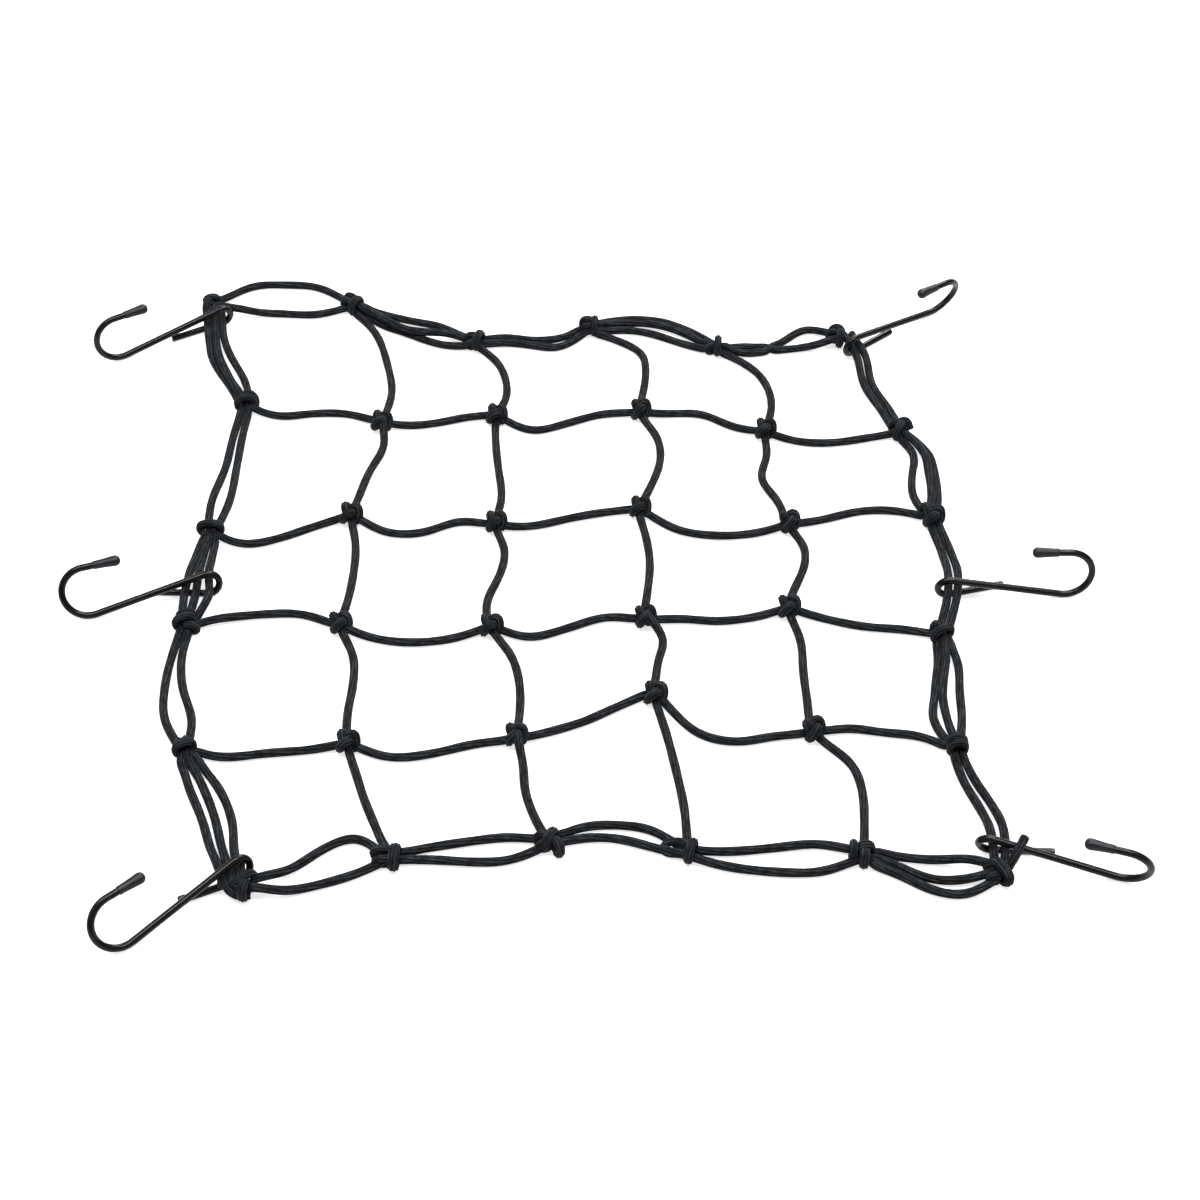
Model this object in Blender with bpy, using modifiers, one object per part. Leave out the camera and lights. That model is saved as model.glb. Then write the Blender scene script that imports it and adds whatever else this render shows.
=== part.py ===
"""Elastic cargo net laid out flat: shock cord tied in 36 knots, held by six bent wire hooks.

Metres, +Z up. The net lies on z = 0 with the origin under the middle of its outline, and +Y
points to its back edge. The tables are in millimetres. Knots lie in six rows. Each cord bows
to one side of the straight line between its knots, by the amounts that a row of a bow table
gives at a quarter, at half and at three quarters of the way.
"""
import math
from collections import namedtuple

import bmesh
import bpy
from mathutils import Matrix, Vector

MM = 0.001
MERGE = 1e-6

# Cord
CORD_SIDES = 6                    # one side lies flat on the floor
CORD_RADIUS = 2.36                # corner radius: the six-sided tube has a 4.3 mm round cord's section
CORD_REST = CORD_RADIUS * math.cos(math.pi / CORD_SIDES)   # centre height of a cord on the floor
CORD_BESIDE = 2.2                 # how far a border cord runs beside its knots' middles
PIECE_LENGTH = 17.5               # about how long a cord's straight pieces are
FINE_STEPS = 6                    # points between two table values, before a cord is cut into pieces

# Knots: a lump of two wound turns
KNOT_HEIGHT = 5.6                 # centre height
KNOT_SPREAD = 9.0                 # how far out a cord is lifted by its knot
KNOT_SIDES = 8
KNOT_PROFILE = (                  # along the knot, radius
    (5.4, 0.0),
    (5.4, 3.4),
    (2.7, 6.06),
    (0.0, 4.7),
    (-2.7, 6.06),
    (-5.4, 3.4),
    (-5.4, 0.0),
)
BORDER_KNOT_WIDTH = 1.25          # a border knot is wider, because it holds more cords

# Hooks: round wire, with a narrow eye round the border cords and an open bend outside
WIRE_RADIUS = 1.65
EYE_HEIGHT = 11.4                 # from the lower leg up to the shank, at the eye
EYE_STEPS = 6
FREE_LEG = 30.5                   # lower leg from the eye to its cut end
SHANK_LENGTH = 59.4
BEND_RADIUS = 13.0
BEND_ANGLE = 188.0
BEND_SAG = 0.2                    # how far the open bend sinks below the shank's end, to the floor
BEND_STEPS = 10
TIP_LEG = 20.0                    # straight length after the bend, cap included
LIFT_HEIGHT = 6.3                 # centre height of a cord between the legs of an eye
LIFT_WIDTH = 11.0                 # the cords are lifted fully up to here from a lower leg
LIFT_SPREAD = 8.0                 # and less and less over this distance beyond it

# Caps on the hooks' tips
CAP_LENGTH = 14.0
CAP_RADIUS = 2.75
CAP_MOUTH_RADIUS = 2.5
CAP_SIDES = 8
CAP_SOCKET = 8.0                  # how far the wire reaches into the cap
GAP = 0.3                         # clearance between separate pieces

Knot = namedtuple("Knot", "x y turn")              # turn: direction of its wound cord, degrees
Bow = namedtuple("Bow", "quarter half three_quarters ride", defaults=(0.0,))   # ride: height on others
Hook = namedtuple("Hook", "eye_x eye_y azimuth lean slip splay")

KNOT_ROWS = (                                      # back row first, each from left to right
    ((-212, 213, 60), (-130, 216, 110), (-58, 183, 85), (8, 195, 90), (80, 179, 85), (152, 185, 90)),
    ((-184, 129, 15), (-106, 115, 60), (-43, 120, 45), (37, 123, 60), (106, 107, 50), (181, 107, 50)),
    ((-192, 28, 10), (-118, 40, 70), (-41, 34, 50), (36, 45, 120), (115, 34, 65), (192, 40, 20)),
    ((-197, -39, 30), (-118, -40, 140), (-41, -41, 50), (38, -35, 70), (112, -28, 20), (190, -46, 30)),
    ((-188, -123, 35), (-109, -119, 60), (-26, -115, 100), (42, -87, 60), (120, -111, 65), (189, -121, 15)),
    ((-147.5, -206, 45), (-85, -188, 90), (-10, -179, 110), (56, -185, 65), (139, -187, 120), (201, -198, 130)),
)
ROW_BOWS = (                                       # rows 2 to 5, five spans each, to the back
    ((-5, 1.3, 4.4), (-3.3, -2, 1.6), (-12.3, -6.2, 0.8), (3.8, 8, 0.8), (-7.2, -8, -4)),
    ((-11.2, -9.2, -3), (-9.8, -8.4, 2.4), (-3.2, 0, 2), (-11.4, -12.9, -8.9), (3.2, 8.2, 7.2)),
    ((5.7, 9, 9.2), (-8, -10, -7), (-7.8, -2.3, 4.3), (-0.4, -4.2, -3.3), (-1.8, -2.6, 0.2)),
    ((-4.6, -2.7, -2), (-8.7, -7.2, -1.8), (-1.7, -2, 1.1), (-17.2, -17.8, -7.8), (6, 5.4, 5.9)),
)
COLUMN_BOWS = (                                    # columns 2 to 5, five spans each, to the right
    ((9.9, 11.4, 9.8), (5.3, 1.4, 0.2), (3.6, 3.9, 2.4), (5.8, 4.5, 0.7), (-0.7, -1.3, -0.5)),
    ((10.4, 12.1, 9.2), (-0.2, 1.5, 3.5), (6, 3.2, -3.2), (7.4, 8, 4.9), (-0.4, -3.6, -2.8)),
    ((22, 18.4, 9.5), (10, 11.5, 6.2), (3, 4.2, 2), (9.2, 4.4, 2), (2.1, 3, 3)),
    ((15.4, 17.2, 11.3), (-1.4, -8.6, -1.6), (9, 8.6, 3.2), (3.4, 1.2, 0.2), (12.6, 12, 6.5)),
)
BORDER_BOWS = {                                    # outer cord, inner cord, and a third on some spans
    "back": (
        (Bow(20.6, 21.5, 18.4), Bow(-3.7, -4.8, -6.8)),
        (Bow(1.2, 3.2, 6.4), Bow(-8.2, -9, -9.8), Bow(-7, -10.6, -2.6, ride=3.7)),
        (Bow(2.3, -3.3, -5), Bow(-1.4, -7.3, -13.1)),
        (Bow(12.6, 17, 13.8), Bow(4.5, 5, -0.2), Bow(8.2, 13.2, 9.6, ride=0.8)),
        (Bow(-7, -1.5, 13), Bow(0, -4.6, -3.8)),
    ),
    "front": (
        (Bow(-6.4, -6.6, -5.5), Bow(4.8, 14.3, 17.3)),
        (Bow(-3.1, -6.7, -8.5), Bow(4, 5.3, 5.8)),
        (Bow(4.5, 5.8, 1.9), Bow(11.3, 13.8, 12.5)),
        (Bow(-8.1, -10.2, -9.8), Bow(1.4, 4.1, 7.1)),
        (Bow(-7.4, -14.7, -14.2), Bow(2.4, 3.4, 5.2), Bow(-3.6, -8.3, -5.7)),
    ),
    "left": (
        (Bow(-6.3, -10.8, -5.7), Bow(-0.9, 0.7, 4.5), Bow(-4, -6.3, -5, ride=3)),
        (Bow(-2.3, -1.7, -4.6), Bow(2.9, 4.3, 5.4)),
        (Bow(-4.8, -4.8, -4.5), Bow(3.9, 5, 9), Bow(-0.4, 0, 1.6, ride=1.5)),
        (Bow(-7.6, -10.8, -10.8), Bow(-2.5, -2, 3.4)),
        (Bow(-4.7, -3.8, -5.2), Bow(9.5, 10.5, 5.3), Bow(2.3, 2.5, 0)),
    ),
    "right": (
        (Bow(3.8, -0.9, 0.8), Bow(-1.4, -5.2, -2.4)),
        (Bow(11.2, 10.5, 8), Bow(3.9, -1.8, -5.8), Bow(9.4, 7.2, 4.8, ride=2)),
        (Bow(7.7, 10.7, 8.2), Bow(3, 5.5, 3.4)),
        (Bow(6.4, 5.1, 4.9), Bow(-3.8, -6.6, -10), Bow(-0.3, -4.2, -3.2, ride=2)),
        (Bow(3.9, 9, 8.2), Bow(-1.9, 2.1, 2)),
    ),
}
BORDER_ENDS = {                                    # where a side's cords enter its two corner knots
    "back": ((0, 0), (0, 0)),
    "front": ((0, 0), (0, 0)),
    "left": ((2, 0), (-7, -0.5)),
    "right": ((5, 2), (0, 0)),
}
HOOKS = {
    # azimuth: out from the net. lean: of the open bend to the front. slip: the lower leg's start
    # to the front of the shank. splay: the lower leg's turn to the back. Angles in degrees.
    "back_left": Hook(-199.2, 202.9, 207.2, -6, -1.5, 0),
    "mid_left": Hook(-183.2, -10.7, 197.6, -28, 3.1, 20),
    "front_left": Hook(-150.0, -193.6, 220.7, -28, 3.4, 17),
    "back_right": Hook(155.8, 171.3, 38.0, 16, -1.5, 0),
    "mid_right": Hook(189.6, -17.2, 1.2, -11, -1.0, 13),
    "front_right": Hook(192.6, -184.0, 347.3, 12, -2.7, 10),
}
CUT_END = ((204, -199, 6), (208.5, -194, 12.9), (213.5, -186, 16.1))   # short cord end over a hook

UP = Vector((0, 0, 1))
KNOTS = tuple(tuple(Knot(*knot) for knot in row) for row in KNOT_ROWS)


def clear_scene():
    for ob in list(bpy.data.objects):
        bpy.data.objects.remove(ob)


def make_material(name, colour, roughness, metallic=0.0):
    mat = bpy.data.materials.new(name)
    mat.use_nodes = True
    shader = mat.node_tree.nodes["Principled BSDF"]
    shader.inputs["Base Color"].default_value = (*colour, 1.0)
    shader.inputs["Roughness"].default_value = roughness
    shader.inputs["Metallic"].default_value = metallic
    return mat


def add_object(name, data, material, collection):
    ob = bpy.data.objects.new(name, data)
    data.materials.clear()
    data.materials.append(material)
    collection.objects.link(ob)
    return ob


def evaluated_mesh(ob, level_ends=False):
    """The object's finished shape as a welded mesh, its level ends made single faces if asked.

    The object itself is removed.
    """
    bpy.context.view_layer.update()
    mesh = bpy.data.meshes.new_from_object(ob.evaluated_get(bpy.context.evaluated_depsgraph_get()))
    bpy.data.objects.remove(ob)
    shape = bmesh.new()
    shape.from_mesh(mesh)
    bmesh.ops.remove_doubles(shape, verts=shape.verts, dist=MERGE)
    if level_ends:
        bmesh.ops.dissolve_limit(shape, angle_limit=math.radians(1), verts=shape.verts, edges=shape.edges)
    bmesh.ops.recalc_face_normals(shape, faces=shape.faces)
    shape.to_mesh(mesh)
    shape.free()
    return mesh


def tube_curve(name, paths, radius, sides):
    """Round tubes with closed ends along the paths."""
    curve = bpy.data.curves.new(name, "CURVE")
    curve.dimensions = "3D"
    curve.twist_mode = "Z_UP"
    curve.bevel_depth = radius * MM
    curve.bevel_resolution = (sides - 4) // 2
    curve.use_fill_caps = True
    for path in paths:
        spline = curve.splines.new("POLY")
        spline.points.add(len(path) - 1)
        for point, place in zip(spline.points, path):
            point.co = (*(place * MM), 1.0)
    return curve


def turned_object(name, profile, sides, material, collection):
    """A solid turned about its z axis; the profile's (z, radius) pairs run down its outer side."""
    mesh = bpy.data.meshes.new(name)
    shape = bmesh.new()
    line = [shape.verts.new((radius * MM, 0, z * MM)) for z, radius in profile]
    for pair in zip(line, line[1:]):
        shape.edges.new(pair)
    shape.to_mesh(mesh)
    shape.free()
    ob = add_object(name, mesh, material, collection)
    turn = ob.modifiers.new("Turn", "SCREW")
    turn.axis = "Z"
    turn.steps = sides
    turn.render_steps = sides
    turn.use_merge_vertices = True
    turn.merge_threshold = MERGE
    return ob


# Where the cords run

def smooth_points(points, steps):
    """A Catmull-Rom curve through the points."""
    padded = [points[0] * 2 - points[1], *points, points[-1] * 2 - points[-2]]
    curve = []
    for a, b, c, d in zip(padded, padded[1:], padded[2:], padded[3:]):
        for i in range(steps):
            t = i / steps
            curve.append(0.5 * (b * 2 + (c - a) * t + (a * 2 - b * 5 + c * 4 - d) * t * t
                                + (b * 3 - a - c * 3 + d) * t ** 3))
    return curve + [points[-1]]


def resample(points, piece):
    """The same line in evenly long straight pieces of about the given length."""
    lengths = [0.0]
    for a, b in zip(points, points[1:]):
        lengths.append(lengths[-1] + (b - a).length)
    pieces = round(lengths[-1] / piece)
    even = []
    at = 0
    for i in range(pieces + 1):
        want = lengths[-1] * i / pieces
        while at < len(lengths) - 2 and lengths[at + 1] < want:
            at += 1
        share = (want - lengths[at]) / (lengths[at + 1] - lengths[at])
        even.append(points[at].lerp(points[at + 1], share))
    return even


def knot_place(knot):
    return Vector((knot.x, knot.y))


def hook_ways(hook):
    """Level directions: out from the net, across the hook to the front, and along its lower leg."""
    azimuth = math.radians(hook.azimuth)
    out = Vector((math.cos(azimuth), math.sin(azimuth), 0))
    front = out.cross(UP)
    if front.y > 0:
        front = -front
    splay = math.radians(hook.splay)
    return out, front, out * math.cos(splay) - front * math.sin(splay)


def eye_ends(hook):
    """Where the eye meets the lower leg and the shank, and the bend radius between them."""
    out, front, _ = hook_ways(hook)
    radius = math.hypot(EYE_HEIGHT, hook.slip) / 2
    low = Vector((hook.eye_x, hook.eye_y, WIRE_RADIUS)) + out * radius
    return low + front * hook.slip, low + UP * EYE_HEIGHT, radius


def distance_to_leg(place):
    """How far a place lies from the nearest lower leg of a hook."""
    nearest = math.inf
    for hook in HOOKS.values():
        low = eye_ends(hook)[0].xy
        way = hook_ways(hook)[2].xy
        along = min(max((place - low).dot(way), 0.0), FREE_LEG)
        nearest = min(nearest, (place - low - way * along).length)
    return nearest


def cord_height(place, ride):
    """Centre height of a cord: on the floor, but lifted by knots, hooks and the cords it rides on."""
    knot = min((place - knot_place(k)).length for row in KNOTS for k in row)
    near_knot = math.exp(-(knot / KNOT_SPREAD) ** 2)
    leg = max(0.0, distance_to_leg(place) - LIFT_WIDTH)
    near_leg = math.exp(-(leg / LIFT_SPREAD) ** 2)
    lift = max((KNOT_HEIGHT - CORD_REST) * near_knot, (LIFT_HEIGHT - CORD_REST) * near_leg)
    return CORD_REST + lift + ride * (1 - near_knot) * (1 - near_leg)


def cord_path(stops, bows, across, beside=0.0, ride=0.0):
    """A cord through its stops, or beside them, with a bow in each span."""
    path = []
    for start, end, bow in zip(stops, stops[1:], bows):
        path.append(start + across * beside)
        for share, off in ((0.25, bow.quarter), (0.5, bow.half), (0.75, bow.three_quarters)):
            path.append(start.lerp(end, share) + across * off)
    path.append(stops[-1] + across * beside)
    fine = smooth_points(path, FINE_STEPS)
    per_span = 4 * FINE_STEPS
    pieces = []
    for i in range(len(bows)):
        pieces += resample(fine[i * per_span:(i + 1) * per_span + 1], PIECE_LENGTH)[:-1]
    pieces.append(fine[-1])
    return [Vector((p.x, p.y, cord_height(p, ride))) for p in pieces]


def net_cords():
    """Row and column cords inside the border."""
    cords = []
    for row, bows in zip(KNOTS[1:-1], ROW_BOWS):
        stops = [knot_place(k) for k in row]
        cords.append(cord_path(stops, [Bow(*bow) for bow in bows], Vector((0, 1))))
    for column, bows in enumerate(COLUMN_BOWS, start=1):
        stops = [knot_place(row[column]) for row in KNOTS]
        cords.append(cord_path(stops, [Bow(*bow) for bow in bows], Vector((1, 0))))
    return cords


def border_cords():
    """Two cords run along each side; a third lies beside or on them in some spans."""
    sides = {                                      # knots, bow direction, and the outer cord's side
        "back": (KNOTS[0], Vector((0, 1)), CORD_BESIDE),
        "front": (KNOTS[-1], Vector((0, 1)), -CORD_BESIDE),
        "left": ([row[0] for row in KNOTS], Vector((1, 0)), -CORD_BESIDE),
        "right": ([row[-1] for row in KNOTS], Vector((1, 0)), CORD_BESIDE),
    }
    cords = []
    for side, (knots, across, outer) in sides.items():
        spans = BORDER_BOWS[side]
        stops = [knot_place(k) for k in knots]
        first, last = BORDER_ENDS[side]
        stops[0] = stops[0] + Vector(first)
        stops[-1] = stops[-1] + Vector(last)
        cords.append(cord_path(stops, [span[0] for span in spans], across, outer))
        cords.append(cord_path(stops, [span[1] for span in spans], across, -outer))
        for i, span in enumerate(spans):
            for third in span[2:]:
                cords.append(cord_path(stops[i:i + 2], [third], across, ride=third.ride))
    return cords


# The net

def make_knots(material, cutters):
    """Every knot in its place, as one object of separate lumps."""
    single = evaluated_mesh(turned_object("knot", KNOT_PROFILE, KNOT_SIDES, material, cutters), True)
    upright = Matrix.Rotation(math.radians(90), 4, "Y")
    flat_down = Matrix.Rotation(math.pi / KNOT_SIDES, 4, "X")
    shape = bmesh.new()
    for r, row in enumerate(KNOTS):
        for c, knot in enumerate(row):
            on_border = r in (0, len(KNOTS) - 1) or c in (0, len(row) - 1)
            wide = Matrix.Diagonal((1, BORDER_KNOT_WIDTH if on_border else 1, 1, 1))
            turned = Matrix.Rotation(math.radians(knot.turn - 90), 4, "Z")
            place = Matrix.Translation(Vector((knot.x, knot.y, KNOT_HEIGHT)) * MM)
            before = set(shape.verts)
            shape.from_mesh(single)
            new = [v for v in shape.verts if v not in before]
            bmesh.ops.transform(shape, matrix=place @ turned @ wide @ flat_down @ upright, verts=new)
    mesh = bpy.data.meshes.new("knots")
    shape.to_mesh(mesh)
    shape.free()
    return add_object("knots", mesh, material, cutters)


def make_net(material, collection, cutters):
    """All cords and knots, united into one body."""
    cords = net_cords() + border_cords() + [[Vector(place) for place in CUT_END]]
    curve = tube_curve("cords", cords, CORD_RADIUS, CORD_SIDES)
    tubes = evaluated_mesh(add_object("cords", curve, material, cutters))
    tubes.shade_smooth()
    net = add_object("net", tubes, material, collection)
    knots = make_knots(material, cutters)
    knots.hide_render = True
    knots.display_type = "WIRE"
    tie = net.modifiers.new("Tie", "BOOLEAN")
    tie.operation = "UNION"
    tie.solver = "EXACT"
    tie.use_self = True
    tie.object = knots


# The hooks

def arc_points(start, along, towards, radius, angle, steps):
    """A bend that starts along one direction and turns towards the other, its start left out."""
    points = []
    for i in range(1, steps + 1):
        turn = math.radians(angle) * i / steps
        points.append(start + along * radius * math.sin(turn) + towards * radius * (1 - math.cos(turn)))
    return points


def hook_line(hook):
    """A hook's centre line, from its lower leg's cut end to its cap's end."""
    out, front, free = hook_ways(hook)
    low, top, radius = eye_ends(hook)
    line = [low + free * FREE_LEG, low]
    line += arc_points(low, -out, (top - low).normalized(), radius, 180, EYE_STEPS)
    pitch = math.asin((EYE_HEIGHT - BEND_SAG) / SHANK_LENGTH)
    shank = out * math.cos(pitch) - UP * math.sin(pitch)
    lean = math.radians(hook.lean)
    rise = (out * math.sin(pitch) + UP * math.cos(pitch)) * math.cos(lean) + front * math.sin(lean)
    line.append(top + shank * SHANK_LENGTH)
    line += arc_points(line[-1], shank, rise, BEND_RADIUS, BEND_ANGLE, BEND_STEPS)
    turned = math.radians(BEND_ANGLE)
    line.append(line[-1] + (shank * math.cos(turned) + rise * math.sin(turned)) * TIP_LEG)
    return line


def make_hook(place, hook, wire, plastic, collection):
    """The bent wire and the cap over its tip."""
    line = hook_line(hook)
    tip = line[-1]
    leg = (tip - line[-2]).normalized()
    line[-1] = tip - leg * (CAP_LENGTH - CAP_SOCKET + GAP)
    add_object(f"hook_{place}", tube_curve(f"hook_{place}", [line], WIRE_RADIUS, 8), wire, collection)
    bore = (WIRE_RADIUS + GAP) / math.cos(math.pi / CAP_SIDES)
    profile = (
        (CAP_LENGTH, 0),
        (CAP_LENGTH * 0.98, CAP_RADIUS * 0.6),
        (CAP_LENGTH * 0.9, CAP_RADIUS),
        (CAP_LENGTH * 0.6, CAP_RADIUS),
        (0, CAP_MOUTH_RADIUS),
        (0, bore),
        (CAP_SOCKET, bore),
        (CAP_SOCKET, 0),
    )
    cap = turned_object(f"cap_{place}", profile, CAP_SIDES, plastic, collection)
    cap.location = (tip - leg * CAP_LENGTH) * MM
    cap.rotation_mode = "QUATERNION"
    cap.rotation_quaternion = leg.to_track_quat("Z", "Y")


def main():
    clear_scene()
    parts = bpy.data.collections.new("cargo_net")
    cutters = bpy.data.collections.new("cutters")
    bpy.context.scene.collection.children.link(parts)
    bpy.context.scene.collection.children.link(cutters)
    cord = make_material("shock cord", (0.012, 0.013, 0.015), 0.75)
    wire = make_material("coated wire", (0.008, 0.008, 0.009), 0.25)
    plastic = make_material("cap plastic", (0.03, 0.033, 0.038), 0.6)
    make_net(cord, parts, cutters)
    for place, hook in HOOKS.items():
        make_hook(place, hook, wire, plastic, parts)


main()
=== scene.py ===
import math
import random
from collections import namedtuple

import bmesh
import bpy
import numpy as np
from mathutils import Matrix, Vector
from mathutils.kdtree import KDTree


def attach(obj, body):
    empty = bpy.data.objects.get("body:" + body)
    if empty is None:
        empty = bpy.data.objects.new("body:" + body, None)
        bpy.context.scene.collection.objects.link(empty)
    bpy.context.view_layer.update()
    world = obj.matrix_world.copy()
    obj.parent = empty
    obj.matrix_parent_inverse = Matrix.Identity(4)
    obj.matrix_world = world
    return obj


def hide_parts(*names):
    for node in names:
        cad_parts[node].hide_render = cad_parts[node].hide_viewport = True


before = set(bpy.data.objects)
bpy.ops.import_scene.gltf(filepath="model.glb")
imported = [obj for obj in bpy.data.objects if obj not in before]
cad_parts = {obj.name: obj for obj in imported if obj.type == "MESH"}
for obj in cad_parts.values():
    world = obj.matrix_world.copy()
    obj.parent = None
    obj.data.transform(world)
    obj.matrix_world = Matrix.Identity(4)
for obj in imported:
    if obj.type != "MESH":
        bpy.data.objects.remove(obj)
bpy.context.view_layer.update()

mm = 0.001
up = Vector((0, 0, 1))

# Camera first: the picture's own angle, from the front and above
camera = {
    "lens": 72.9,
    "sensor": 36.0,
    "target": Vector((14.8, -18.4, 0.0)),   # mm
    "elevation": 46.5,                      # degrees above the floor
    "distance": 1262.0,
    "near": 0.05,                           # clipping distances, in metres
    "far": 20.0,
}


def makeCamera():
    rise = math.radians(camera["elevation"])
    place = camera["target"] + Vector((0, -math.cos(rise), math.sin(rise))) * camera["distance"]
    data = bpy.data.cameras.new("camera")
    data.lens = camera["lens"]
    data.sensor_width = camera["sensor"]
    data.clip_start = camera["near"]
    data.clip_end = camera["far"]
    eye = bpy.data.objects.new("camera", data)
    bpy.context.scene.collection.objects.link(eye)
    eye.location = place * mm
    eye.rotation_euler = (camera["target"] - place).to_track_quat("-Z", "Y").to_euler()
    bpy.context.scene.camera = eye


makeCamera()
print("camera placed")

# The net's layout, the same places as in its solids, in millimetres
Knot = namedtuple("Knot", "x y")
Bow = namedtuple("Bow", "quarter half threeQuarters ride", defaults=(0.0,))   # ride: height on others
Hook = namedtuple("Hook", "eyeX eyeY azimuth lean slip splay")

knotRows = (                                       # back row first, each from left to right
    ((-212, 213), (-130, 216), (-58, 183), (8, 195), (80, 179), (152, 185)),
    ((-184, 129), (-106, 115), (-43, 120), (37, 123), (106, 107), (181, 107)),
    ((-192, 28), (-118, 40), (-41, 34), (36, 45), (115, 34), (192, 40)),
    ((-197, -39), (-118, -40), (-41, -41), (38, -35), (112, -28), (190, -46)),
    ((-188, -123), (-109, -119), (-26, -115), (42, -87), (120, -111), (189, -121)),
    ((-147.5, -206), (-85, -188), (-10, -179), (56, -185), (139, -187), (201, -198)),
)
rowBows = (                                        # rows 2 to 5, five spans each, to the back
    ((-5, 1.3, 4.4), (-3.3, -2, 1.6), (-12.3, -6.2, 0.8), (3.8, 8, 0.8), (-7.2, -8, -4)),
    ((-11.2, -9.2, -3), (-9.8, -8.4, 2.4), (-3.2, 0, 2), (-11.4, -12.9, -8.9), (3.2, 8.2, 7.2)),
    ((5.7, 9, 9.2), (-8, -10, -7), (-7.8, -2.3, 4.3), (-0.4, -4.2, -3.3), (-1.8, -2.6, 0.2)),
    ((-4.6, -2.7, -2), (-8.7, -7.2, -1.8), (-1.7, -2, 1.1), (-17.2, -17.8, -7.8), (6, 5.4, 5.9)),
)
columnBows = (                                     # columns 2 to 5, five spans each, to the right
    ((9.9, 11.4, 9.8), (5.3, 1.4, 0.2), (3.6, 3.9, 2.4), (5.8, 4.5, 0.7), (-0.7, -1.3, -0.5)),
    ((10.4, 12.1, 9.2), (-0.2, 1.5, 3.5), (6, 3.2, -3.2), (7.4, 8, 4.9), (-0.4, -3.6, -2.8)),
    ((22, 18.4, 9.5), (10, 11.5, 6.2), (3, 4.2, 2), (9.2, 4.4, 2), (2.1, 3, 3)),
    ((15.4, 17.2, 11.3), (-1.4, -8.6, -1.6), (9, 8.6, 3.2), (3.4, 1.2, 0.2), (12.6, 12, 6.5)),
)
borderBows = {                                     # outer cord, inner cord, and a third on some spans
    "back": (
        (Bow(20.6, 21.5, 18.4), Bow(-3.7, -4.8, -6.8)),
        (Bow(1.2, 3.2, 6.4), Bow(-8.2, -9, -9.8), Bow(-7, -10.6, -2.6, ride=3.7)),
        (Bow(2.3, -3.3, -5), Bow(-1.4, -7.3, -13.1)),
        (Bow(12.6, 17, 13.8), Bow(4.5, 5, -0.2), Bow(8.2, 13.2, 9.6, ride=0.8)),
        (Bow(-7, -1.5, 13), Bow(0, -4.6, -3.8)),
    ),
    "front": (
        (Bow(-6.4, -6.6, -5.5), Bow(4.8, 14.3, 17.3)),
        (Bow(-3.1, -6.7, -8.5), Bow(4, 5.3, 5.8)),
        (Bow(4.5, 5.8, 1.9), Bow(11.3, 13.8, 12.5)),
        (Bow(-8.1, -10.2, -9.8), Bow(1.4, 4.1, 7.1)),
        (Bow(-7.4, -14.7, -14.2), Bow(2.4, 3.4, 5.2), Bow(-3.6, -8.3, -5.7)),
    ),
    "left": (
        (Bow(-6.3, -10.8, -5.7), Bow(-0.9, 0.7, 4.5), Bow(-4, -6.3, -5, ride=3)),
        (Bow(-2.3, -1.7, -4.6), Bow(2.9, 4.3, 5.4)),
        (Bow(-4.8, -4.8, -4.5), Bow(3.9, 5, 9), Bow(-0.4, 0, 1.6, ride=1.5)),
        (Bow(-7.6, -10.8, -10.8), Bow(-2.5, -2, 3.4)),
        (Bow(-4.7, -3.8, -5.2), Bow(9.5, 10.5, 5.3), Bow(2.3, 2.5, 0)),
    ),
    "right": (
        (Bow(3.8, -0.9, 0.8), Bow(-1.4, -5.2, -2.4)),
        (Bow(11.2, 10.5, 8), Bow(3.9, -1.8, -5.8), Bow(9.4, 7.2, 4.8, ride=2)),
        (Bow(7.7, 10.7, 8.2), Bow(3, 5.5, 3.4)),
        (Bow(6.4, 5.1, 4.9), Bow(-3.8, -6.6, -10), Bow(-0.3, -4.2, -3.2, ride=2)),
        (Bow(3.9, 9, 8.2), Bow(-1.9, 2.1, 2)),
    ),
}
borderEnds = {                                     # where a side's cords enter its two corner knots
    "back": ((0, 0), (0, 0)),
    "front": ((0, 0), (0, 0)),
    "left": ((2, 0), (-7, -0.5)),
    "right": ((5, 2), (0, 0)),
}
hooks = {                                          # eye place, then angles and slip as in the solids
    "back_left": Hook(-199.2, 202.9, 207.2, -6, -1.5, 0),
    "mid_left": Hook(-183.2, -10.7, 197.6, -28, 3.1, 20),
    "front_left": Hook(-150.0, -193.6, 220.7, -28, 3.4, 17),
    "back_right": Hook(155.8, 171.3, 38.0, 16, -1.5, 0),
    "mid_right": Hook(189.6, -17.2, 1.2, -11, -1.0, 13),
    "front_right": Hook(192.6, -184.0, 347.3, 12, -2.7, 10),
}
risers = ((1, 1), (3, 3), (4, 2))                  # knots whose column cord comes out over them
knots = tuple(tuple(Knot(*knot) for knot in row) for row in knotRows)


# Lines in space

def smoothPoints(points, steps):
    padded = [points[0] * 2 - points[1], *points, points[-1] * 2 - points[-2]]
    line = []
    for a, b, c, d in zip(padded, padded[1:], padded[2:], padded[3:]):
        for i in range(steps):
            t = i / steps
            line.append(0.5 * (b * 2 + (c - a) * t + (a * 2 - b * 5 + c * 4 - d) * t * t
                               + (b * 3 - a - c * 3 + d) * t ** 3))
    return line + [points[-1]]


def evenPoints(points, step):
    lengths = [0.0]
    for a, b in zip(points, points[1:]):
        lengths.append(lengths[-1] + (b - a).length)
    pieces = max(2, round(lengths[-1] / step))
    even = []
    at = 0
    for i in range(pieces + 1):
        want = lengths[-1] * i / pieces
        while at < len(lengths) - 2 and lengths[at + 1] < want:
            at += 1
        share = (want - lengths[at]) / max(1e-9, lengths[at + 1] - lengths[at])
        even.append(points[at].lerp(points[at + 1], share))
    return even


def knotPlace(knot):
    return Vector((knot.x, knot.y))


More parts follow.
